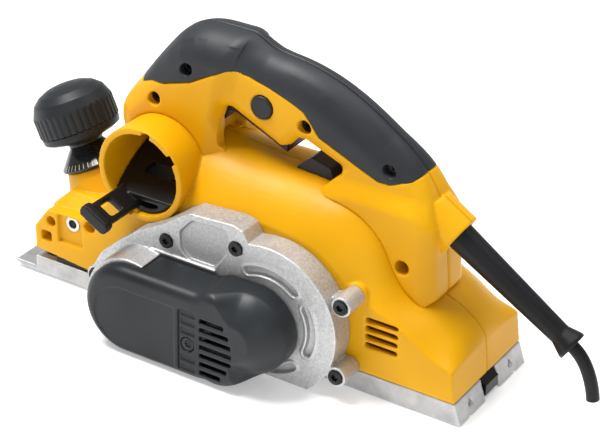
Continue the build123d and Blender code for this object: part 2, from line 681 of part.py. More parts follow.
with BuildPart() as housing:
    add(housing_skin.part)
    # chip port, chute from the drum, and the notches in the port's rim
    add(rod(PORT_X, PORT_Z, PORT_BORE, -60, 60), mode=Mode.SUBTRACT)
    add(block(106, 138, -30, 30, 45, 92), mode=Mode.SUBTRACT)
    add(rod(PORT_X, PORT_Z, SOCKET_R, -60, SOCKET_IN), mode=Mode.SUBTRACT)
    for turn, width in RIM_NOTCHES:
        with BuildSketch(side(PORT_END)):
            with Locations((PORT_X, PORT_Z)):
                with PolarLocations(PORT_BORE + 0.6, 1, start_angle=turn):
                    Rectangle(4.4, width)
        extrude(amount=NOTCH_DEPTH, mode=Mode.SUBTRACT)
    # drum, motor and rear chambers
    add(rod(DRUM_X, DRUM_Z, THROAT_R + 0.7, -37.4, 60), mode=Mode.SUBTRACT)
    add(rod(MOTOR_X, MOTOR_Z, MOTOR_CAVITY_R, -36.5, 60), mode=Mode.SUBTRACT)
    add(block(-47, -8, -37, 37, 17, 50), mode=Mode.SUBTRACT)
    add(block(-76, -46, -36, 36, 17, 30), mode=Mode.SUBTRACT)
    add(block(-8, 92, -17, 17, 83, 98), mode=Mode.SUBTRACT)
    # saddles that hold the stator
    for x in (MOTOR_X - 38, MOTOR_X + 38):
        add(block(x - 5, x + 5, -14, 14, 22, 54))
    add(block(MOTOR_X - 35.05, MOTOR_X + 35.05, -40, 40, 20, 56), mode=Mode.SUBTRACT)
    # right-hand bearing seats stand inward from the wall
    for x, z, outer in ((DRUM_X, DRUM_Z, 14), (MOTOR_X, MOTOR_Z, 15)):
        add(rod(x, z, outer, -HALF + 0.5, -30.5))
        add(rod(x, z, 11, -37.5, -20), mode=Mode.SUBTRACT)
        add(rod(x, z, 6, -39.8, -20), mode=Mode.SUBTRACT)
    # front block: screw boss chamber, depth screw, guide pins
    with BuildSketch(knob_plane(-62)):
        Circle(BOSS_R + 2.5)
    extrude(amount=24, mode=Mode.SUBTRACT)
    with BuildSketch(knob_plane(-60)):
        Circle(SCREW_R + 0.4)
    extrude(amount=70, mode=Mode.SUBTRACT)
    with BuildSketch(knob_plane(-10)):
        Circle(10)
    extrude(amount=12, mode=Mode.SUBTRACT)
    for y in (-GUIDE_Y, GUIDE_Y):
        with BuildSketch(along(172.0, 8.0, y, KNOB_TILT)):
            Circle(GUIDE_R + RUN)
        extrude(amount=30, mode=Mode.SUBTRACT)
    # left and right faces of the front block: fence fixing, key pocket, drain and recess
    for sign in (-1, 1):
        add(block(176.5, 195, *inward(sign, 3), 28.5, 48), mode=Mode.SUBTRACT)
        add(block(200.5, 208.5, *inward(sign, 9), 26, 33), mode=Mode.SUBTRACT)
        add(rod(200.5, 41, 3.4, *inward(sign, 8)), mode=Mode.SUBTRACT)
        add(rod(170.5, 46, 4.0, *inward(sign, 6)), mode=Mode.SUBTRACT)
        add(rod(FENCE_X, FENCE_Z, INSERT_R, *inward(sign, 16)), mode=Mode.SUBTRACT)
    # screw holes of the side plate
    for x, z in PLATE_SCREWS:
        add(rod(x, z, 2.05, 34, 60), mode=Mode.SUBTRACT)
    vents(-47, -25.5, (33, 38.5, 44, 49.5), 30, 60)
    vents(-47, -25.5, (33, 38.5, 44, 49.5), -60, -30)

with BuildPart() as housing_left:
    add(housing.part)
    add(LEFT_HALF, mode=Mode.INTERSECT)
save(housing_left, "housing_left")

with BuildPart() as housing_right:
    add(housing.part)
    add(RIGHT_HALF, mode=Mode.INTERSECT)
save(housing_right, "housing_right")

# ---------------------------------------------------------------- handle
# Outline of the handle seen from the side, from its front foot over the grip to its rear foot.
HANDLE_TOP = [(160, 112), (161, 127), (152, 142), (142, 156), (131, 170), (122, 179), (110, 184.6),
              (100, 186), (88, 186), (76, 185.2), (70, 182.2), (62, 179), (48, 177), (34, 174.4), (21, 170.4),
              (8, 164.8), (-5.5, 157.4), (-19, 148.6), (-30, 140.6), (-39, 131.5), (-45, 122.5), (-49, 115)]
REAR_FOOT = [(-54, 104), (-54.5, 84), (-57, 60), (-50, 52)]
OPENING = [(91, 116), (91, 133), (88, 141.5), (84, 141.5), (50, 126), (44, 128.5), (39, 134.5), (33, 134.5),
           (24, 131), (9, 125.5), (9, 121), (26, 104)]
GRIP_EDGE = [(166, 144), (152, 144.5), (139, 149), (126, 148.6), (108, 154), (94, 162), (83, 167), (70, 167),
             (57, 163.5), (43, 158), (34, 153.5), (28, 146.5), (23.5, 140.5), (9, 134.6), (-4, 129),
             (-16, 124.4),
             (-24, 124.6), (-33, 129), (-42, 131.5), (-60, 138)]
CORD_TILT = -(90 + CORD_SLOPE)   # lean of the cord guard's axis away from +Z, towards -X


def cord_plane(out):
    """Plane across the cord guard, `out` millimetres beyond the end of the handle's boss."""
    a = radians(CORD_SLOPE)
    return along(CORD_X - out * cos(a), CORD_Z - out * sin(a), lean=CORD_TILT)


# stretch of the handle that is only as thick as the grip
WAIST = [(-80, 112), (-44, 122), (4, 122), (20, 117), (40, 96), (90, 96), (82, 148), (66, 200), (-80, 200)]

with BuildPart() as handle_skin:
    with BuildSketch(side(FRONT_W)):
        with BuildLine():
            Spline(*HANDLE_TOP)
            Polyline(HANDLE_TOP[-1], *REAR_FOOT, (-30, 52), (160, 90), HANDLE_TOP[0])
        make_face()
        rounded(OPENING, 1.5, Mode.SUBTRACT)
    extrude(amount=2 * FRONT_W)
    for low, high in ((HANDLE_W, 60), (-60, -HANDLE_W)):
        with BuildSketch(side(high)):
            with BuildLine():
                Polyline(*WAIST, close=True)
            make_face()
        extrude(amount=high - low, mode=Mode.SUBTRACT)
    with BuildSketch(cord_plane(-22)):
        Circle(13.4)
    extrude(amount=22)
    add(housing_skin.part, mode=Mode.SUBTRACT)


def drawn_in(points, depth):
    """The same run of points, each moved `depth` to the left of the way the line runs."""
    moved = []
    for here in range(len(points)):
        x0, z0 = points[max(here - 1, 0)]
        x1, z1 = points[min(here + 1, len(points) - 1)]
        step = hypot(x1 - x0, z1 - z0)
        x, z = points[here]
        moved.append((x - depth * (z1 - z0) / step, z + depth * (x1 - x0) / step))
    return moved


# ground the rubber is moulded over: the handle drawn in by the thickness of the skin
CORE_TOP = drawn_in(HANDLE_TOP, GRIP_SKIN)
with BuildPart() as grip_core:
    with BuildSketch(side(FRONT_W - GRIP_SKIN)):
        with BuildLine():
            Spline(*CORE_TOP)
            Polyline(CORE_TOP[-1], (-60, 60), (160, 60), CORE_TOP[0])
        make_face()
    extrude(amount=2 * (FRONT_W - GRIP_SKIN))
    add(block(-100, 76, HANDLE_W - GRIP_SKIN, 60, 0, 220), mode=Mode.SUBTRACT)
    add(block(-100, 76, -60, GRIP_SKIN - HANDLE_W, 0, 220), mode=Mode.SUBTRACT)

with BuildPart() as grip_zone:
    with BuildSketch(side(60)):
        with BuildLine():
            Polyline(*GRIP_EDGE, (-70, 220), (180, 220), close=True)
        make_face()
    extrude(amount=120)
    add(grip_core.part, mode=Mode.SUBTRACT)

with BuildPart() as handle:
    add(handle_skin.part)
    add(grip_zone.part, mode=Mode.SUBTRACT)
    # chamber for the switch, and the slot the trigger works in
    add(block(12, 96, -11, 11, 148.5, 166), mode=Mode.SUBTRACT)
    add(block(46, 92, -TRIGGER_W - 0.5, TRIGGER_W + 0.5, 110, 150), mode=Mode.SUBTRACT)
    add(block(86, 97.5, -TRIGGER_W - 0.5, TRIGGER_W + 0.5, 118, 149), mode=Mode.SUBTRACT)
    add(rod(*TRIGGER_PIVOT, 12, -TRIGGER_W - 0.5, TRIGGER_W + 0.5), mode=Mode.SUBTRACT)
    add(rod(*TRIGGER_PIVOT, TRIGGER_PIN_R, -PIN_REACH, PIN_REACH), mode=Mode.SUBTRACT)
    # way for the mains lead down to the motor
    with BuildSketch(cord_plane(-60)):
        Circle(4.2)
    extrude(amount=62, mode=Mode.SUBTRACT)
    with BuildSketch(cord_plane(-14)):
        Circle(GUARD_R + 0.02)
    extrude(amount=20, mode=Mode.SUBTRACT)
    add(rod(LOCK_X, LOCK_Z, LOCK_R + 0.15, 0, 30), mode=Mode.SUBTRACT)
    for x, z in FRONT_SCREWS:
        add(rod(x, z, SCREW_HEAD_R + 0.1, FRONT_HEAD_Y - 2.82, 40), mode=Mode.SUBTRACT)
    for x, z in GRIP_SCREWS:
        add(rod(x, z, SCREW_HEAD_R + 0.1, GRIP_HEAD_Y - 2.82, 40), mode=Mode.SUBTRACT)
    for x, z in FRONT_SCREWS + GRIP_SCREWS:
        add(rod(x, z, 2.02, -16, 40), mode=Mode.SUBTRACT)

with BuildPart() as handle_left:
    add(handle.part)
    add(LEFT_HALF, mode=Mode.INTERSECT)
save(handle_left, "handle_left")

with BuildPart() as handle_right:
    add(handle.part)
    add(RIGHT_HALF, mode=Mode.INTERSECT)
save(handle_right, "handle_right")

with BuildPart() as grip:
    add(handle_skin.part)
    add(grip_zone.part, mode=Mode.INTERSECT)
    for x, z in FRONT_SCREWS + GRIP_SCREWS:
        add(rod(x, z, SCREW_HEAD_R + 0.1, 5.0, 40), mode=Mode.SUBTRACT)

with BuildPart() as grip_left:
    add(grip.part)
    add(LEFT_HALF, mode=Mode.INTERSECT)
save(grip_left, "grip_left")

with BuildPart() as grip_right:
    add(grip.part)
    add(RIGHT_HALF, mode=Mode.INTERSECT)
save(grip_right, "grip_right")

with BuildPart() as handle_screws:
    add(screws(FRONT_SCREWS, FRONT_HEAD_Y, FRONT_HEAD_Y + 12).part)
    add(screws(GRIP_SCREWS, GRIP_HEAD_Y, GRIP_HEAD_Y + 12).part)
save(handle_screws, "handle_screws")

# rubber pad on the housing, in the rear corner of the hand opening
PAD_EDGE = [(45, 106), (41.5, 114), (32, 122.5), (19, 119), (14, 106)]
with BuildPart() as hand_pad:
    with BuildSketch(side(10)):
        rounded(PAD_EDGE, 1.0)
    extrude(amount=20)
    add(housing_skin.part, mode=Mode.SUBTRACT)
    add(handle_skin.part, mode=Mode.SUBTRACT)
save(hand_pad, "hand_pad")

# ---------------------------------------------------------------- switch gear
with BuildPart() as lock_button:
    add(rod(LOCK_X, LOCK_Z, LOCK_R, TRIGGER_W + 3.2, 19.0))
    chamfer(lock_button.faces().sort_by(Axis.Y)[-1].edges(), 0.8)
    add(rod(LOCK_X, LOCK_Z, 3, 3.5, TRIGGER_W + 3.2))
save(lock_button, "lock_button")

with BuildPart() as power_switch:
    add(block(14, 44, -9, 9, 150.0, 162.5))
    add(block(40, 54, -2.5, 2.5, 153, 158))
    add(rod(33, 144, 5, -20, 20), mode=Mode.SUBTRACT)
save(power_switch, "power_switch")

with BuildPart() as trigger:
    with BuildSketch(side(TRIGGER_W)):
        with BuildLine():
            Polyline(*TRIGGER_EDGE, close=True)
        make_face()
    extrude(amount=2 * TRIGGER_W)
    add(rod(*TRIGGER_PIVOT, TRIGGER_PIN_R + RUN, -20, 20), mode=Mode.SUBTRACT)
save(trigger, "trigger")

with BuildPart() as trigger_pin:
    add(rod(*TRIGGER_PIVOT, TRIGGER_PIN_R, -PIN_REACH, PIN_REACH))
save(trigger_pin, "trigger_pin")

# ---------------------------------------------------------------- depth knob


def knob_turning(points):
    """Solid of revolution about the knob axis, from (radius, height) points."""
    a = radians(KNOB_TILT)
    frame = Plane(origin=(KNOB_X, 0, KNOB_Z), x_dir=(cos(a), 0, -sin(a)), z_dir=(0, -1, 0))
    with BuildPart() as turned:
        with BuildSketch(frame) as half:
            with BuildLine() as outline:
                Polyline(*points, close=True)
            make_face(outline.edges())
        revolve(half.sketch, axis=Axis((KNOB_X, 0, KNOB_Z), (sin(a), 0, cos(a))))
    return turned.part


with BuildPart() as scale_skirt:
    add(knob_turning([
        (5.02, 7.5), (5.02, 13.0), (11.0, 13.0), (20.4, 1.2), (20.4, 0), (18.4, 0), (10.2, 7.5),
    ]))
save(scale_skirt, "scale_skirt")

with BuildPart() as knob_body:
    add(knob_turning([
        (0, 13.05), (10.8, 13.05), (11.6, 15.6), (21.5, 18.4), (24.9, 20.0), (25.5, 24.5), (0, 24.5),
    ]))
    with BuildSketch(knob_plane(10)):
        Circle(SCREW_R)
    extrude(amount=12, mode=Mode.SUBTRACT)
save(knob_body, "knob_body")

DOME = [(24.8, 40.4), (23.0, 44.8), (18.2, 49.0), (11.8, 51.6), (5.4, 52.7), (0, 53)]
with BuildPart() as knob_cap:
    add(knob_turning([(0, 24.6), (KNOB_R, 24.6), (KNOB_R, 37.6), *DOME]))
    add(knob_turning([(0, 20), (23, 20), (23, 38), (17, 45), (0, 48)]), mode=Mode.SUBTRACT)
    with BuildSketch(knob_plane(24)):
        with PolarLocations(KNOB_R + 0.4, 36):
            Rectangle(2.2, 1.8)
    extrude(amount=14.4, mode=Mode.SUBTRACT)
save(knob_cap, "knob_cap")

with BuildPart() as depth_screw:
    with BuildSketch(knob_plane(-61)):
        Circle(SCREW_R)
    extrude(amount=61 + 21)
    with BuildSketch(knob_plane(-46)):
        Circle(SCREW_R)
        Circle(SCREW_R - 0.9, mode=Mode.SUBTRACT)
    extrude(amount=1.5, mode=Mode.SUBTRACT)
save(depth_screw, "depth_screw")

a = radians(KNOB_TILT)
foot_x, foot_z = knob_point(-9.2)
spring_foot = (foot_x, 0, foot_z)
knob_spring = coil(spring_foot, (sin(a), 0, cos(a)), 8.0, 0.6, 3.0, 14.0)
save(knob_spring, "knob_spring")

# ---------------------------------------------------------------- chip diverter
DIVERTER_R = PORT_BORE - 0.6
LEVER_TURN = -60               # the lever lies along the lower front of the port
DECK_LOW, DECK_HIGH = -14.0, 44.0   # ends of the scoop along Y
DECK_SLOPE, DECK_THICK = 0.40, 3.5


def deck_z(y):
    """Height of the scoop's deck, which falls towards the left end of the port."""
    return PORT_Z + 0.7 - DECK_SLOPE * (y - 4)


def lever_plane(y):
    """Plane across the port axis with local x pointing from the axis to the lever."""
    t = radians(LEVER_TURN)
    return Plane(origin=(PORT_X, y, PORT_Z), x_dir=(cos(t), 0, sin(t)), z_dir=(0, 1, 0))


def below_deck(r, drop):
    """The part of the bore, out to this radius, that lies below the deck lowered by `drop`."""
    with BuildPart() as filling:
        add(rod(PORT_X, PORT_Z, r, DECK_LOW, DECK_HIGH))
        with BuildSketch(Plane.YZ.offset(PORT_X - PORT_R)) as above:
            with BuildLine() as edge:
                Polyline(
                    (DECK_LOW - 1, deck_z(DECK_LOW - 1) - drop),
                    (DECK_HIGH + 1, deck_z(DECK_HIGH + 1) - drop),
                    (DECK_HIGH + 1, PORT_Z + 40),
                    (DECK_LOW - 1, PORT_Z + 40),
                    close=True,
                )
            make_face(edge.edges())
        extrude(above.sketch, amount=2 * PORT_R, mode=Mode.SUBTRACT)
    return filling.part


with BuildPart() as chip_diverter:
    # scoop: hollow underneath and open to the chute
    add(below_deck(DIVERTER_R, 0))
    add(below_deck(DIVERTER_R - 3, DECK_THICK), mode=Mode.SUBTRACT)
    add(block(106, 138, DECK_LOW - 1, 28, 45, 92), mode=Mode.SUBTRACT)
    # lever along the wall, with an offset finger pad
    with BuildSketch(lever_plane(0)):
        with Locations((21.6, 0)):
            RectangleRounded(4.6, 17, 1.6)
    extrude(amount=LEVER_END)
    with BuildSketch(lever_plane(LEVER_END - 1)):
        with Locations((22.4, 0)):
            RectangleRounded(8, 21, 3)
    extrude(amount=6)
    with BuildSketch(Plane(origin=lever_plane(62).from_local_coords((30, 0, 0)), x_dir=(0, 1, 0),
                           z_dir=lever_plane(0).x_dir)):
        RectangleRounded(11, 10, 1.5)
    extrude(amount=-12, mode=Mode.SUBTRACT)
save(chip_diverter, "chip_diverter")

# ---------------------------------------------------------------- parking foot
with BuildPart() as parking_foot:
    with BuildSketch(side(7.5)):
        with Locations((FOOT_X, FOOT_Z)):
            Circle(4.6)
        with BuildLine():
            Polyline((FOOT_X, 12.4), (-84, 12.4), (-88.5, 9.5), (-88.5, 2.6), (-84.5, 2.0), (-80, 6.0),
                     (FOOT_X, 3.6), close=True)
        make_face()
    extrude(amount=15)
    add(rod(FOOT_X, FOOT_Z, FOOT_PIN_R + RUN, -20, 20), mode=Mode.SUBTRACT)
save(parking_foot, "parking_foot")

with BuildPart() as foot_pin:
    add(rod(FOOT_X, FOOT_Z, FOOT_PIN_R, -20, 20))
save(foot_pin, "foot_pin")

# ---------------------------------------------------------------- cord
with BuildPart() as cord_guard:
    with BuildSketch(cord_plane(-13.9)):
        Circle(GUARD_R)
    with BuildSketch(cord_plane(2)):
        Circle(GUARD_R)
    loft()
    with BuildSketch(cord_plane(2)):
        Circle(GUARD_R)
    with BuildSketch(cord_plane(78)):
        Circle(6.4)
    loft()
    with BuildSketch(cord_plane(78)):
        Circle(6.4)
    with BuildSketch(cord_plane(86)):
        Circle(9.2)
    loft()
    with BuildSketch(cord_plane(86)):
        Circle(9.2)
    extrude(amount=2)
    with BuildSketch(cord_plane(-15)):
        Circle(CORD_R)
    extrude(amount=110, mode=Mode.SUBTRACT)
save(cord_guard, "cord_guard")

cord_in = cord_plane(-50).origin
cord_out = cord_plane(88).origin
with BuildPart() as mains_cord:
    with BuildLine() as lead:
        Line(cord_in, cord_out)
        Spline(cord_out, (-146, 0, 37), (-151, 0, 20), tangents=(cord_plane(0).z_dir, (-0.15, 0, -1)))
    with BuildSketch(cord_plane(-50)):
        Circle(CORD_R)
    sweep(path=lead.line)
save(mains_cord, "mains_cord")

# ---------------------------------------------------------------- small fittings
with BuildPart() as fence_inserts:
    for sign in (-1, 1):
        low, high = inward(sign, 16)
        add(rod(FENCE_X, FENCE_Z, INSERT_R, max(low, 3 - HALF), min(high, HALF - 3)))
        low, high = inward(sign, 14)
        thread = rod(FENCE_X, FENCE_Z, FENCE_THREAD_R, max(low, 3 - HALF), min(high, HALF - 3))
        add(thread, mode=Mode.SUBTRACT)
save(fence_inserts, "fence_inserts")

with BuildPart() as seal_strips:
    for sign in (-1, 1):
        with BuildSketch(side(max(sign * 39.5, sign * 38))):
            with BuildLine():
                Polyline((172, 15.1), (198, 17.3), (198, 13.6), (172, 13.9), close=True)
            make_face()
        extrude(amount=1.5)
save(seal_strips, "seal_strips")
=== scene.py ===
import json
import math

import bmesh
import bpy
import numpy as np
from mathutils import Matrix, Vector


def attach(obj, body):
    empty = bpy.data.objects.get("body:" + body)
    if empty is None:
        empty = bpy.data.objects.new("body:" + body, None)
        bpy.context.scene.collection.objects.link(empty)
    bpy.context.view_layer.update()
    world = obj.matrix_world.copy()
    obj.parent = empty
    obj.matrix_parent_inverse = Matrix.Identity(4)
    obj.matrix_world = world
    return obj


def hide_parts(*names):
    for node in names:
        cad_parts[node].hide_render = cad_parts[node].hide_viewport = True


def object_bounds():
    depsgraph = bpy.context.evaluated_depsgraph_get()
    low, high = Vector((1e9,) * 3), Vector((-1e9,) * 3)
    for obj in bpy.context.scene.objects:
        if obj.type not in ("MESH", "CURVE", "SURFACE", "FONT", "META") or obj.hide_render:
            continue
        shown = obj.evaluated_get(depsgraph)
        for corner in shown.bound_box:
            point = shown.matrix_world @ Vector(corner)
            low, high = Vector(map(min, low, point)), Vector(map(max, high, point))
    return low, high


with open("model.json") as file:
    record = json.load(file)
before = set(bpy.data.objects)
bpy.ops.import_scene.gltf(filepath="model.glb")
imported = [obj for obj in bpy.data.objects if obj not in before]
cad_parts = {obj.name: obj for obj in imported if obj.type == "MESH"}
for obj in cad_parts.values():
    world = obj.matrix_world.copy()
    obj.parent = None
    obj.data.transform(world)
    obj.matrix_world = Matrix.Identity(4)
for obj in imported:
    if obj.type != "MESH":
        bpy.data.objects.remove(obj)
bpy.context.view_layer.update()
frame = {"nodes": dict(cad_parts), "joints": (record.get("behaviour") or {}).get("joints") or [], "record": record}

MM = 0.001
NODES = frame["nodes"]
BODY_OF = {node: body for body, nodes in frame["record"]["behaviour"]["bodies"].items() for node in nodes}
SLOT_OF = {part["node"]: part["material_slot"] for part in frame["record"]["subparts"]}

# the depth knob's axis leans forward from the foot of its scale
KNOB = next(joint for joint in frame["joints"] if joint["name"] == "knob_turn")
KNOB_FOOT = KNOB["pos_m"]
KNOB_LEAN = math.atan2(KNOB["axis"][0], KNOB["axis"][2])


# ---------------------------------------------------------------- node graph helpers
class Graph:
    """A small wrapper that keeps material graphs short to write."""

    def __init__(self, name):
        self.material = bpy.data.materials.new(name)
        self.material.use_nodes = True
        self.tree = self.material.node_tree
        self.tree.nodes.clear()
        self.out = self.node("ShaderNodeOutputMaterial")
        self.shader = self.node("ShaderNodeBsdfPrincipled")
        self.link(self.shader.outputs["BSDF"], self.out.inputs["Surface"])
        self.place = self.node("ShaderNodeTexCoord").outputs["Object"]

    def link(self, a, b):
        self.tree.links.new(a, b)

    def node(self, kind, **values):
        made = self.tree.nodes.new(kind)
        for key, value in values.items():
            setattr(made, key, value)
        return made

    def feed(self, value, socket):
        """Links a socket, or sets a number or a colour."""
        if isinstance(value, bpy.types.NodeSocket):
            self.link(value, socket)
        elif isinstance(value, tuple):
            socket.default_value = (*value, 1.0)
        else:
            socket.default_value = value

    def noise(self, scale, detail=3.0, rough=0.5, stretch=None):
        """Noise of so many waves per metre, drawn out along an axis whose stretch factor is small."""
        n = self.node("ShaderNodeTexNoise")
        n.inputs["Scale"].default_value = scale
        n.inputs["Detail"].default_value = detail
        n.inputs["Roughness"].default_value = rough
        place = self.place
        if stretch:
            mapping = self.node("ShaderNodeMapping")
            mapping.inputs["Scale"].default_value = stretch
            self.link(place, mapping.inputs["Vector"])
            place = mapping.outputs["Vector"]
        self.link(place, n.inputs["Vector"])
        return n.outputs["Fac"]

    def bands(self, scale, direction, distortion=0.0):
        wave = self.node("ShaderNodeTexWave", wave_type="BANDS", bands_direction=direction)
        wave.inputs["Scale"].default_value = scale
        wave.inputs["Distortion"].default_value = distortion
        self.link(self.place, wave.inputs["Vector"])
        return wave.outputs["Fac"]

    def ramp(self, value, low, high, a=0.0, b=1.0):
        """Maps value from low..high to a..b, held at the ends."""
        m = self.node("ShaderNodeMapRange", clamp=True)
        for key, number in (("From Min", low), ("From Max", high), ("To Min", a), ("To Max", b)):
            m.inputs[key].default_value = number
        self.link(value, m.inputs["Value"])
        return m.outputs["Result"]

    def mix(self, amount, a, b):
        """Colour a where amount is 0, b where it is 1."""
        m = self.node("ShaderNodeMix", data_type="RGBA")
        colour_a, colour_b = m.inputs[6], m.inputs[7]
        self.feed(amount, m.inputs["Factor"])
        self.feed(a, colour_a)
        self.feed(b, colour_b)
        return m.outputs[2]

    def math(self, operation, a, b=0.0):
        m = self.node("ShaderNodeMath", operation=operation)
        self.feed(a, m.inputs[0])
        self.feed(b, m.inputs[1])
        return m.outputs[0]

    def wash(self, tone, colour, where, share):
        """Lays a share of a colour over the tone where the mask is 1."""
        return self.mix(self.math("MULTIPLY", where, share), tone, colour)

    def bump(self, height, strength, distance, below=None):
        b = self.node("ShaderNodeBump")
        b.inputs["Strength"].default_value = strength
        b.inputs["Distance"].default_value = distance
        self.link(height, b.inputs["Height"])
        if below is not None:
            self.link(below, b.inputs["Normal"])
        return b.outputs["Normal"]

    def edges(self, low, high):
        """Pointiness from low to high: over 0.5 on outward edges, under 0.5 in creases."""
        return self.ramp(self.node("ShaderNodeNewGeometry").outputs["Pointiness"], low, high)

    def finish(self, color, rough, normal, metal=0.0, **extra):
        self.feed(color, self.shader.inputs["Base Color"])
        self.feed(rough, self.shader.inputs["Roughness"])
        self.feed(metal, self.shader.inputs["Metallic"])
        self.link(normal, self.shader.inputs["Normal"])
        for key, value in extra.items():
            self.feed(value, self.shader.inputs[key.replace("_", " ")])
        return self.material


# ---------------------------------------------------------------- materials
def moulded_plastic(name, deep, light, rough, grain, relief, specular):
    """Spark-eroded moulding: an even fine grain, slow colour drift, edges rubbed smoother and lifted with a
    painted highlight, and painted shade in the creases.
    """
    g = Graph(name)
    drift = g.ramp(g.noise(14, 2), 0.35, 0.65)
    speck = g.ramp(g.noise(900, 2, 0.6), 0.4, 0.7)
    rubbed_lit_edges = g.edges(0.515, 0.60)
    crease_shade = g.edges(0.485, 0.44)
    tone = g.mix(drift, deep, light)
    tone = g.wash(tone, light, speck, 0.10)
    # painted highlight along with rubbed wear: the outward edges are lifted towards the light colour
    tone = g.wash(tone, light, rubbed_lit_edges, 0.25)
    # painted shade: the creases are darkened towards a third of the deep colour
    tone = g.wash(tone, tuple(0.35 * c for c in deep), crease_shade, 0.6)
    patches = g.ramp(g.noise(60, 4), 0.3, 0.7, rough - 0.05, rough + 0.06)
    shine = g.math("ADD", patches, g.math("MULTIPLY", rubbed_lit_edges, -0.10))
    normal = g.bump(g.noise(grain, 2, 0.7), relief, 0.04 * MM)
    normal = g.bump(g.noise(40, 2), 0.10, 0.6 * MM, normal)
    return g.finish(tone, shine, normal, Specular_IOR_Level=specular)


def cast_metal(name, deep, light, rough):
    """Tumbled die casting: mottled grey, pitted skin, outward edges brighter from wear and a painted highlight,
    and painted shade in the creases.
    """
    g = Graph(name)
    mottle = g.ramp(g.noise(650, 5, 0.75), 0.36, 0.64)
    cloud = g.ramp(g.noise(22, 3), 0.35, 0.65)
    lit_worn_edges = g.edges(0.51, 0.58)
    painted_crease_shade = g.edges(0.485, 0.43)
    tone = g.mix(mottle, deep, light)
    tone = g.wash(tone, light, cloud, 0.35)
    # painted highlight along with tumbling wear: the outward edges are lifted towards near-white
    tone = g.wash(tone, (0.86, 0.86, 0.87), lit_worn_edges, 0.6)
    # painted shade: the creases are darkened towards the deep colour
    tone = g.wash(tone, deep, painted_crease_shade, 0.35)
    patches = g.ramp(g.noise(300, 4, 0.6), 0.3, 0.7, rough - 0.08, rough + 0.10)
    shine = g.math("ADD", patches, g.math("MULTIPLY", lit_worn_edges, -0.12))
    pits = g.bump(g.noise(1500, 3, 0.75), 0.55, 0.09 * MM)
    normal = g.bump(g.noise(260, 3, 0.6), 0.35, 0.22 * MM, pits)
    return g.finish(tone, shine, normal, metal=0.6)


def milled_metal(name, deep, light, rough):
    """Milled bar: long fine tool marks along the direction of travel."""
    g = Graph(name)
    marks = g.noise(900, 3, 0.7, stretch=(0.02, 1.0, 1.0))
    blotch = g.ramp(g.noise(90, 5, 0.6), 0.3, 0.7)
    tone = g.mix(blotch, deep, light)
    # painted highlight: the outward edges are lifted towards pale grey
    tone = g.wash(tone, (0.85, 0.85, 0.86), g.edges(0.51, 0.58), 0.5)
    shine = g.ramp(marks, 0.3, 0.7, rough - 0.06, rough + 0.10)
    normal = g.bump(marks, 0.25, 0.06 * MM)
    normal = g.bump(g.noise(1300, 3, 0.7), 0.35, 0.07 * MM, normal)
    return g.finish(tone, shine, normal, metal=0.65)


def turned_metal(name, deep, light, rough, metal=1.0):
    """Small steel and brass parts: cloudy colour and faint streaks along Y."""
    g = Graph(name)
    streak = g.noise(1800, 3, 0.6, stretch=(1.0, 0.08, 1.0))
    tone = g.mix(g.ramp(g.noise(200, 4), 0.35, 0.65), deep, light)
    shine = g.ramp(streak, 0.3, 0.7, rough - 0.06, rough + 0.08)
    return g.finish(tone, shine, g.bump(streak, 0.2, 0.04 * MM), metal)


def stacked_sheets(name):
    """Motor core made of thin punched sheets stacked along Y."""
    g = Graph(name)
    sheets = g.bands(320, "Y")
    tone = g.mix(sheets, (0.07, 0.07, 0.075), (0.25, 0.25, 0.26))
    return g.finish(tone, 0.45, g.bump(sheets, 0.6, 0.2 * MM), metal=0.8)


def wound_copper(name):
    """Layers of enamelled wire."""
    g = Graph(name)
    turns = g.bands(300, "DIAGONAL", distortion=1.5)
    tone = g.mix(turns, (0.20, 0.05, 0.015), (0.70, 0.28, 0.10))
    return g.finish(tone, 0.35, g.bump(turns, 0.8, 0.3 * MM), metal=0.6)


def printed_dial(name):
    """Glossy black skirt with fine yellow-white graduations round the knob's axis."""
    marks, half_mark = 40, 0.09                  # marks in a turn, and half a mark as a share of one step
    foot, top = 1.4 * MM, 4.2 * MM               # ends of a mark, measured up the skirt
    g = Graph(name)
    local = g.node("ShaderNodeMapping", vector_type="TEXTURE")
    local.inputs["Location"].default_value = KNOB_FOOT
    local.inputs["Rotation"].default_value = (0, KNOB_LEAN, 0)
    g.link(g.place, local.inputs["Vector"])
    split = g.node("ShaderNodeSeparateXYZ")
    g.link(local.outputs["Vector"], split.inputs[0])
    angle = g.math("ARCTAN2", split.outputs["Y"], split.outputs["X"])
    step = g.math("FRACT", g.math("MULTIPLY", angle, marks / (2 * math.pi)))
    tick = g.math("LESS_THAN", g.math("ABSOLUTE", g.math("SUBTRACT", step, 0.5)), half_mark)
    below = g.math("LESS_THAN", split.outputs["Z"], top)
    above = g.math("GREATER_THAN", split.outputs["Z"], foot)
    amount = g.math("MULTIPLY", tick, g.math("MULTIPLY", below, above))
    black = g.mix(g.ramp(g.noise(400, 3), 0.3, 0.7), (0.008, 0.008, 0.009), (0.018, 0.018, 0.02))
    tone = g.mix(amount, black, (0.62, 0.60, 0.30))
    shine = g.ramp(g.noise(120, 4), 0.3, 0.7, 0.10, 0.26)
    return g.finish(tone, shine, g.bump(g.noise(700, 2), 0.08, 0.05 * MM))


# deep and light colour, roughness, waves of grain per metre, relief of the grain, specular level
MOULDINGS = {
    "yellow_housing": ((0.68, 0.325, 0.001), (0.77, 0.39, 0.002), 0.40, 2600, 0.5, 0.20),
    "charcoal_rubber": ((0.016, 0.018, 0.022), (0.027, 0.030, 0.034), 0.46, 1900, 0.8, 0.30),
    "charcoal_plastic": ((0.010, 0.012, 0.014), (0.020, 0.023, 0.026), 0.42, 2200, 0.6, 0.28),
    "black_plastic": ((0.004, 0.004, 0.005), (0.009, 0.009, 0.010), 0.34, 2400, 0.5, 0.25),
    "black_rubber": ((0.004, 0.004, 0.005), (0.009, 0.0095, 0.011), 0.42, 1700, 0.7, 0.25),
    "carbon": ((0.012, 0.012, 0.012), (0.03, 0.03, 0.03), 0.7, 1500, 0.9, 0.20),
}
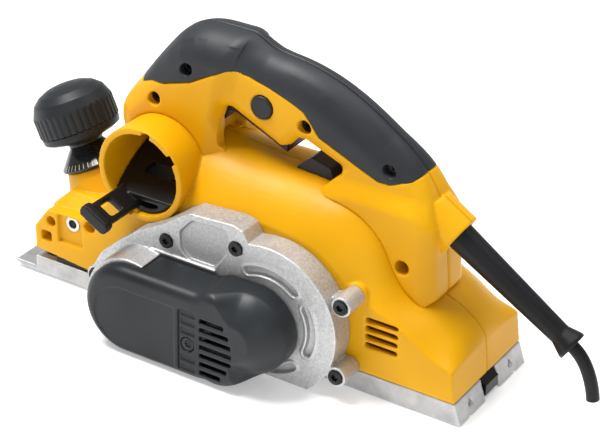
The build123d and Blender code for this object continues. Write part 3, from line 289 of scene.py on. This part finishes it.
# deep and light colour, roughness, and metalness where it is not full
TURNINGS = {
    "ground_steel": ((0.45, 0.45, 0.46), (0.62, 0.62, 0.63), 0.24),
    "zinc_steel": ((0.50, 0.50, 0.48), (0.66, 0.65, 0.62), 0.32),
    "blackened_steel": ((0.012, 0.012, 0.013), (0.035, 0.035, 0.037), 0.30, 0.7),
    "brass": ((0.50, 0.33, 0.10), (0.68, 0.48, 0.18), 0.28),
}
MATERIALS = {
    **{name: moulded_plastic(name, *look) for name, look in MOULDINGS.items()},
    **{name: turned_metal(name, *look) for name, look in TURNINGS.items()},
    "dial_black": printed_dial("dial_black"),
    "cast_aluminium": cast_metal("cast_aluminium", (0.36, 0.36, 0.36), (0.60, 0.60, 0.60), 0.45),
    "milled_aluminium": milled_metal("milled_aluminium", (0.36, 0.36, 0.36), (0.54, 0.54, 0.54), 0.42),
    "laminated_steel": stacked_sheets("laminated_steel"),
    "copper_wire": wound_copper("copper_wire"),
}


# ---------------------------------------------------------------- mesh helpers
def new_object(name, data):
    obj = bpy.data.objects.new(name, data)
    bpy.context.scene.collection.objects.link(obj)
    return obj


def copy_of(node):
    """Welded copy of a CAD node's mesh."""
    mesh = NODES[node].data.copy()
    mesh.name = "look_" + node
    bm = bmesh.new()
    bm.from_mesh(mesh)
    bmesh.ops.remove_doubles(bm, verts=bm.verts, dist=0.001 * MM)
    bm.to_mesh(mesh)
    bm.free()
    return new_object("look_" + node, mesh)


def bake(obj):
    """Applies every modifier of obj."""
    bpy.context.view_layer.update()
    graph = bpy.context.evaluated_depsgraph_get()
    mesh = bpy.data.meshes.new_from_object(obj.evaluated_get(graph), depsgraph=graph)
    obj.modifiers.clear()
    old = obj.data
    obj.data = mesh
    bpy.data.meshes.remove(old)


def coordinates(mesh):
    co = np.empty(len(mesh.vertices) * 3)
    mesh.vertices.foreach_get("co", co)
    return co.reshape(-1, 3)


def relax(mesh, rounds):
    """Moves each vertex halfway to the mean of its neighbours, so many times over."""
    co = coordinates(mesh)
    n = len(co)
    pair = np.empty(len(mesh.edges) * 2, np.int32)
    mesh.edges.foreach_get("vertices", pair)
    a, b = pair[0::2], pair[1::2]
    degree = np.maximum(np.bincount(a, minlength=n) + np.bincount(b, minlength=n), 1)
    for _ in range(rounds):
        for k in range(3):
            total = np.bincount(a, co[b, k], n) + np.bincount(b, co[a, k], n)
            co[:, k] += 0.5 * (total / degree - co[:, k])
    mesh.vertices.foreach_set("co", co.ravel())
    mesh.update()


def smooth(v):
    """Eased step: 0 below 0, 1 above 1."""
    v = np.clip(v, 0, 1)
    return v * v * (3 - 2 * v)


def distance_out(co, outline):
    """Distance in metres outside a closed outline in the side view, negative within it."""
    x, z = co[:, 0], co[:, 2]
    inside = np.zeros(len(co), bool)
    nearest = np.full(len(co), np.inf)
    for k in range(len(outline)):
        (x0, z0), (x1, z1) = (np.array(outline[k - 1]) * MM, np.array(outline[k]) * MM)
        crosses = ((z0 > z) != (z1 > z)) & (x < (x1 - x0) * (z - z0) / (z1 - z0 + 1e-12) + x0)
        inside ^= crosses
        t = ((x - x0) * (x1 - x0) + (z - z0) * (z1 - z0)) / ((x1 - x0) ** 2 + (z1 - z0) ** 2)
        t = np.clip(t, 0, 1)
        nearest = np.minimum(nearest, np.hypot(x - x0 - t * (x1 - x0), z - z0 - t * (z1 - z0)))
    return np.where(inside, -nearest, nearest)


# ---------------------------------------------------------------- the handle's rounded form
# stretch of the handle that is only as thick as the grip, in millimetres
WAIST = [(-90, 112), (-44, 122), (4, 122), (20, 117), (40, 96), (90, 96), (82, 148), (66, 205), (-90, 205)]
GRIP_HALF, FRONT_HALF = 17.5 * MM, 23.0 * MM     # half the thickness there, and of the rest
FLARE = 13 * MM                                  # over which the one widens to the other

# Lines along which the handle's edges are rolled over: x, z, half width that stays flat, and depth of
# the rounding, all in millimetres. The first runs over the grip, the second along the finger side.
CREST = [(160, 112, 12, 9), (161, 127, 9, 12), (152, 142, 4, 16), (142, 156, 2, 18), (131, 170, 0, 19),
         (122, 179, 0, 20), (110, 184.6, 0, 20), (100, 186, 0, 20), (88, 186, 0, 20), (76, 185.2, 0, 20),
         (70, 182.2, 0, 20), (62, 179, 0, 20), (48, 177, 0, 20), (34, 174.4, 0, 20), (21, 170.4, 0, 20),
         (8, 164.8, 0, 20), (-5.5, 157.4, 0, 20), (-19, 148.6, 0, 19), (-30, 140.6, 2, 17),
         (-39, 131.5, 5, 14), (-45, 122.5, 8, 12), (-49, 115, 10, 11), (-54, 104, 12, 10),
         (-54.5, 84, 12, 10), (-57, 60, 12, 10)]
FINGERS = [(26, 104, 16, 0.5), (12, 118, 16, 0.8), (9, 121, 12, 3), (9, 125.5, 11, 6),
           (24, 131, 11.2, 8), (33, 134.5, 11.2, 8), (39, 134.5, 11.2, 8), (44, 128.5, 11.2, 8),
           (50, 126, 11.2, 8), (84, 141.5, 11.2, 8), (88, 141.5, 11.2, 6), (91, 133, 14, 5),
           (91, 123, 20, 1), (91, 116, 21, 0.5)]
FILL = 8                                         # points of a line for each one that is given
OUTSIDE, AROUND = 0.15, 1.2                      # how far past and about its line a rounding acts, in depths

# floor of the hand opening: the handle's strip below this line is drawn down inside the body
STRIP = ((26, 105.5), (91, 117.5))
STRIP_START, STRIP_END, STRIP_EASE = 20, 89, 8
STRIP_DROP = 8 * MM

# groove along the joint between the handle's halves, cut towards a point inside it
SEAM_DEPTH = 0.9 * MM
SEAM_FLOOR, SEAM_MOUTH = 0.27 * MM, 1.17 * MM    # half widths of the groove
SEAM_TOWARDS = (30, 100)

# where the handle lies under the rubber, in millimetres
COVERED = [(76, 169.5), (94, 165), (108, 157), (126, 151.5), (139, 152), (152, 147.5), (200, 147),
           (200, 220), (-90, 220), (-60, 141), (-42, 134.5), (-33, 132), (-24, 127.6), (-16, 127.4),
           (-4, 132), (9, 137.6), (21, 143), (34, 156.5), (43, 161), (57, 166.5)]
SKIN = 2.4 * MM                                  # how far the core stays inside the rubber's face
EASE = 1.5 * MM                                  # over which the core steps down to that

RUBBER_SCREWS = ((111, 162), (-24, 134))         # screws sunk through the rubber, from the left
SCREW_HOLE = 4.5 * MM                            # radius of their holes
HOLE_WALL = 0.5 * MM                             # points this near to a hole belong to its wall
CORE_CLEAR = 1.4 * MM                            # how much wider the core's holes are
LIP, LINED = 1.2 * MM, 3.5 * MM                  # part of the wall that stays, and depth lined below it


def dense(line):
    """A run of points with the gaps filled in evenly."""
    line = np.array(line, float)
    gaps = len(line) - 1
    at = np.arange(gaps).repeat(FILL) + np.tile(np.arange(FILL) / FILL, gaps)
    return np.column_stack([np.interp(at, np.arange(gaps + 1), column) for column in line.T])


def half_width(co):
    """Half the handle's thickness at each point of the side view."""
    return GRIP_HALF + (FRONT_HALF - GRIP_HALF) * smooth(distance_out(co, WAIST) / FLARE)


def roll_edge(co, line):
    """Rounds both long edges of the handle along a line that has the material on its left."""
    run = dense(line) * MM
    step = np.gradient(run[:, :2], axis=0)
    step /= np.linalg.norm(step, axis=1)[:, None]
    inward = np.column_stack([-step[:, 1], step[:, 0]])
    flat = co[:, [0, 2]]
    best = np.full(len(co), np.inf)
    which = np.zeros(len(co), int)
    for k, point in enumerate(run[:, :2]):
        d = ((flat - point) ** 2).sum(axis=1)
        closer = d < best
        best[closer] = d[closer]
        which[closer] = k
    normal = inward[which]
    keep, reach = run[which, 2], run[which, 3]
    deep = ((flat - run[which, :2]) * normal).sum(axis=1)
    across = np.abs(co[:, 1])
    wide = half_width(co)
    # t is 1 on the line and 0 where the rounding ends; a is 0 on the flat and 1 on the side
    t = 1 - deep / reach
    act = (t > 0) & (t <= 1 + OUTSIDE) & (np.sqrt(best) < reach * AROUND)
    t = np.clip(t, 0, 1)
    a = np.clip((across - keep) / (wide - keep), 0, 1)
    y = np.where(across > keep, keep + (wide - keep) * a * np.sqrt(1 - t * t / 2), across)
    sink = reach * (1 - t * np.sqrt(1 - a * a / 2)) - reach * (1 - t)
    co[act, 1] = (np.sign(co[:, 1]) * y)[act]
    co[act, 0] += (normal[:, 0] * sink)[act]
    co[act, 2] += (normal[:, 1] * sink)[act]


def draw_strip_down(co):
    x, z = co[:, 0] / MM, co[:, 2] / MM
    (x0, z0), (x1, z1) = STRIP
    low = (x > STRIP_START) & (z < z0 + (x - x0) * (z1 - z0) / (x1 - x0))
    co[low, 2] -= STRIP_DROP * smooth((STRIP_END - x) / STRIP_EASE)[low]


def cut_seam(co):
    shut = np.clip((SEAM_MOUTH - np.abs(co[:, 1])) / (SEAM_MOUTH - SEAM_FLOOR), 0, 1)
    away = co[:, [0, 2]] - np.array(SEAM_TOWARDS) * MM
    away /= np.linalg.norm(away, axis=1)[:, None]
    co[:, 0] -= SEAM_DEPTH * shut * away[:, 0]
    co[:, 2] -= SEAM_DEPTH * shut * away[:, 1]


def shape_handle(co):
    """Crowned grip that widens towards the body, with a groove where its halves meet."""
    wide = half_width(co)
    co[:, 1] = np.clip(co[:, 1], -wide, wide)
    roll_edge(co, CREST)
    roll_edge(co, FINGERS)
    draw_strip_down(co)
    cut_seam(co)


def from_axis(co, place):
    """Offset in X and Z from an axis along Y, and its length."""
    off = co[:, [0, 2]] - np.array(place) * MM
    return off, np.linalg.norm(off, axis=1)


def shape_core(co):
    """The yellow moulding stays inside the rubber, also round the rubber's screws."""
    left = co[:, 1] > 0
    for place in RUBBER_SCREWS:
        off, r = from_axis(co, place)
        grow = CORE_CLEAR * smooth((SCREW_HOLE + HOLE_WALL + EASE - r) / EASE) * left
        co[:, 0] += off[:, 0] / (r + 1e-9) * grow
        co[:, 2] += off[:, 1] / (r + 1e-9) * grow
    wide = half_width(co) - SKIN * smooth(-distance_out(co, COVERED) / EASE)
    co[:, 1] = np.clip(co[:, 1], -wide, wide)
    shape_handle(co)


def shape_grip(co):
    """The rubber also lines the holes of the screws that it covers."""
    for place in RUBBER_SCREWS:
        wall = (from_axis(co, place)[1] < SCREW_HOLE + HOLE_WALL) & (co[:, 1] > 0)
        if wall.any():
            inner = wall & (co[:, 1] < co[wall, 1].max() - LIP)
            co[inner, 1] -= LINED
    shape_handle(co)


# ---------------------------------------------------------------- the belt cover's sloping end
# In millimetres. The cover's outline in the side view is a bar with round ends and, at the motor end,
# the hull of three discs: x, z and radius of each.
BAR_ENDS, BAR_Z, BAR_HALF = (62, 112), 29.3, 28.6
DISCS = ((34.5, 35.0, 26.5), (48, 22.7, 22), (50, 46.5, 15))
HULL_STEPS = 9
COVER_TOP, COVER_FOOT = 87, 59                   # Y of the outer face, and below which nothing moves
SLOPE_DROP, SLOPE_REACH, SLOPE_CURVE = 13, 16, 1.35
SLOPE_X, SLOPE_X_EASE = 52, 18                   # X where it starts, and over which it grows to full
SLOPE_PLACE, SLOPE_RISE, SLOPE_Z_EASE = (35, 4), 0.6, 16    # line below which there is none


def depth_in_cover(x, z):
    """How far inside the cover's outline a point lies."""
    inside = BAR_HALF - np.hypot(x - np.clip(x, *BAR_ENDS), z - BAR_Z)
    for k in range(len(DISCS)):
        for t in np.linspace(0, 1, HULL_STEPS):
            cx, cz, r = np.array(DISCS[k - 1]) * (1 - t) + np.array(DISCS[k]) * t
            inside = np.maximum(inside, r - np.hypot(x - cx, z - cz))
    return inside


def shape_cover(co):
    """Lets the motor end of the belt cover slope down to its rim, but not along the bottom."""
    x, y, z = co.T / MM
    line = SLOPE_PLACE[1] - (SLOPE_PLACE[0] - x) * SLOPE_RISE
    part = smooth((SLOPE_X - x) / SLOPE_X_EASE) * smooth((z - line) / SLOPE_Z_EASE)
    t = np.clip(depth_in_cover(x, z) / (SLOPE_REACH * part + 1e-6), 0, 1)
    top = COVER_TOP - SLOPE_DROP * part * (1 - t) ** SLOPE_CURVE
    share = (y - COVER_FOOT) / (COVER_TOP - COVER_FOOT)
    co[:, 1] = np.where(y > COVER_FOOT, COVER_FOOT + share * (top - COVER_FOOT), y) * MM


# ---------------------------------------------------------------- the object's pieces
# nodes that get a new skin: size of its faces in millimetres, and rounds of relaxing
MOULDED = {
    "housing_left": (0.7, 3), "housing_right": (0.7, 3), "side_plate": (0.5, 3), "belt_cover": (0.45, 3),
    "handle_left": (0.7, 4), "handle_right": (0.7, 4), "grip_left": (0.6, 4), "grip_right": (0.6, 4),
    "rear_shoe": (0.7, 2), "front_shoe": (0.7, 2), "chip_diverter": (0.6, 4),
    "knob_cap": (0.4, 4), "knob_body": (0.5, 4), "hand_pad": (0.5, 3), "cord_guard": (0.5, 4),
    "lock_button": (0.4, 3), "trigger": (0.5, 3),
}
SHAPED = {
    "handle_left": shape_core, "handle_right": shape_core,
    "grip_left": shape_grip, "grip_right": shape_grip, "belt_cover": shape_cover,
}
EDGE = 0.3 * MM                                  # bevel of the other nodes' sharp edges
SHARP = math.radians(35)


def paint(obj, node):
    obj.data.materials.clear()
    obj.data.materials.append(MATERIALS[SLOT_OF[node]])


def moulded(node, face, rounds):
    """Stands in for a node with a re-skinned copy whose edges are all slightly rounded."""
    obj = copy_of(node)
    skin = obj.modifiers.new("skin", "REMESH")
    skin.mode = "VOXEL"
    skin.voxel_size = face * MM
    skin.use_smooth_shade = True
    bake(obj)
    if node in SHAPED:
        co = coordinates(obj.data)
        SHAPED[node](co)
        obj.data.vertices.foreach_set("co", co.ravel())
    relax(obj.data, rounds)
    paint(obj, node)
    faces = len(obj.data.polygons)
    obj.data.polygons.foreach_set("use_smooth", [True] * faces)
    obj.data.polygons.foreach_set("material_index", [0] * faces)
    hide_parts(node)
    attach(obj, BODY_OF[node])


def dressed(node):
    """Keeps the CAD node and only bevels its sharp edges and paints it."""
    obj = NODES[node]
    bevel = obj.modifiers.new("edge", "BEVEL")
    bevel.width = EDGE
    bevel.segments = 2
    bevel.limit_method = "ANGLE"
    bevel.angle_limit = SHARP
    bevel.harden_normals = False
    paint(obj, node)


for each in NODES:
    if each in MOULDED:
        moulded(each, *MOULDED[each])
    else:
        dressed(each)


# ---------------------------------------------------------------- floor, light and camera
# place, size in metres and power in watts of the soft boxes
LAMPS = {
    "key": ((0.60, 0.25, 1.5), 0.6, 28.0),
    "fill": ((-0.9, 1.3, 0.6), 0.9, 3.0),
    "top": ((-0.2, -0.4, 1.5), 0.9, 8.0),
}
LAMP_AIM = Vector((0.05, 0.0, 0.08))
AMBIENT, FLOOR_GLOW = 0.42, 0.36
FLOOR_HALF, FLOOR_GAP = 4.0, 0.2 * MM

# the picture's camera stands behind the planer, above it and on its belt side, slightly rolled
CAMERA_AT = Vector((-0.4954, 0.8839, 0.6499))
CAMERA_BACK = Vector((-0.455, 0.745, 0.488)).normalized()
CAMERA_ROLL = math.radians(1.6)
CAMERA_LENS, CAMERA_FILM = 120.24, 36.0          # millimetres


def floor_material():
    """Pale and matt, and clear from below, so that the sole can be looked at."""
    g = Graph("floor")
    pale = g.mix(g.ramp(g.noise(3, 2), 0.3, 0.7), (0.86, 0.86, 0.86), (0.89, 0.89, 0.89))
    grain = g.bump(g.noise(900, 2), 0.05, 0.1 * MM)
    g.finish(pale, 0.7, grain, Emission_Color=pale, Emission_Strength=FLOOR_GLOW)
    clear = g.node("ShaderNodeMixShader")
    g.link(g.node("ShaderNodeNewGeometry").outputs["Backfacing"], clear.inputs["Fac"])
    g.link(g.shader.outputs["BSDF"], clear.inputs[1])
    g.link(g.node("ShaderNodeBsdfTransparent").outputs["BSDF"], clear.inputs[2])
    g.link(clear.outputs["Shader"], g.out.inputs["Surface"])
    return g.material


def pale_floor():
    """Wide flat floor just below the object."""
    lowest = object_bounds()[0][2]
    bm = bmesh.new()
    bmesh.ops.create_grid(bm, x_segments=40, y_segments=40, size=FLOOR_HALF)
    mesh = bpy.data.meshes.new("floor")
    bm.to_mesh(mesh)
    bm.free()
    mesh.materials.append(floor_material())
    floor = new_object("floor", mesh)
    floor.location = (0, 0, lowest - FLOOR_GAP)


def soft_light():
    """White surroundings and three soft boxes."""
    world = bpy.data.worlds.new("studio")
    bpy.context.scene.world = world
    world.use_nodes = True
    background = world.node_tree.nodes["Background"]
    background.inputs["Color"].default_value = (1, 1, 1, 1)
    background.inputs["Strength"].default_value = AMBIENT
    for name, (place, size, power) in LAMPS.items():
        light = bpy.data.lights.new(name, "AREA")
        light.size = size
        light.energy = power
        lamp = new_object(name, light)
        lamp.location = place
        lamp.rotation_euler = (LAMP_AIM - Vector(place)).to_track_quat("-Z", "Y").to_euler()


def photo_camera():
    """Camera at the picture's viewing angle."""
    right = Vector((0, 0, 1)).cross(CAMERA_BACK).normalized()
    up = CAMERA_BACK.cross(right)
    x = right * math.cos(CAMERA_ROLL) + up * math.sin(CAMERA_ROLL)
    y = up * math.cos(CAMERA_ROLL) - right * math.sin(CAMERA_ROLL)
    data = bpy.data.cameras.new("photo")
    data.lens = CAMERA_LENS
    data.sensor_width = CAMERA_FILM
    camera = new_object("photo", data)
    turn = Matrix((x, y, CAMERA_BACK)).transposed().to_4x4()
    camera.matrix_world = Matrix.Translation(CAMERA_AT) @ turn
    bpy.context.scene.camera = camera


pale_floor()
soft_light()
photo_camera()
bpy.context.scene.view_settings.view_transform = "Standard"
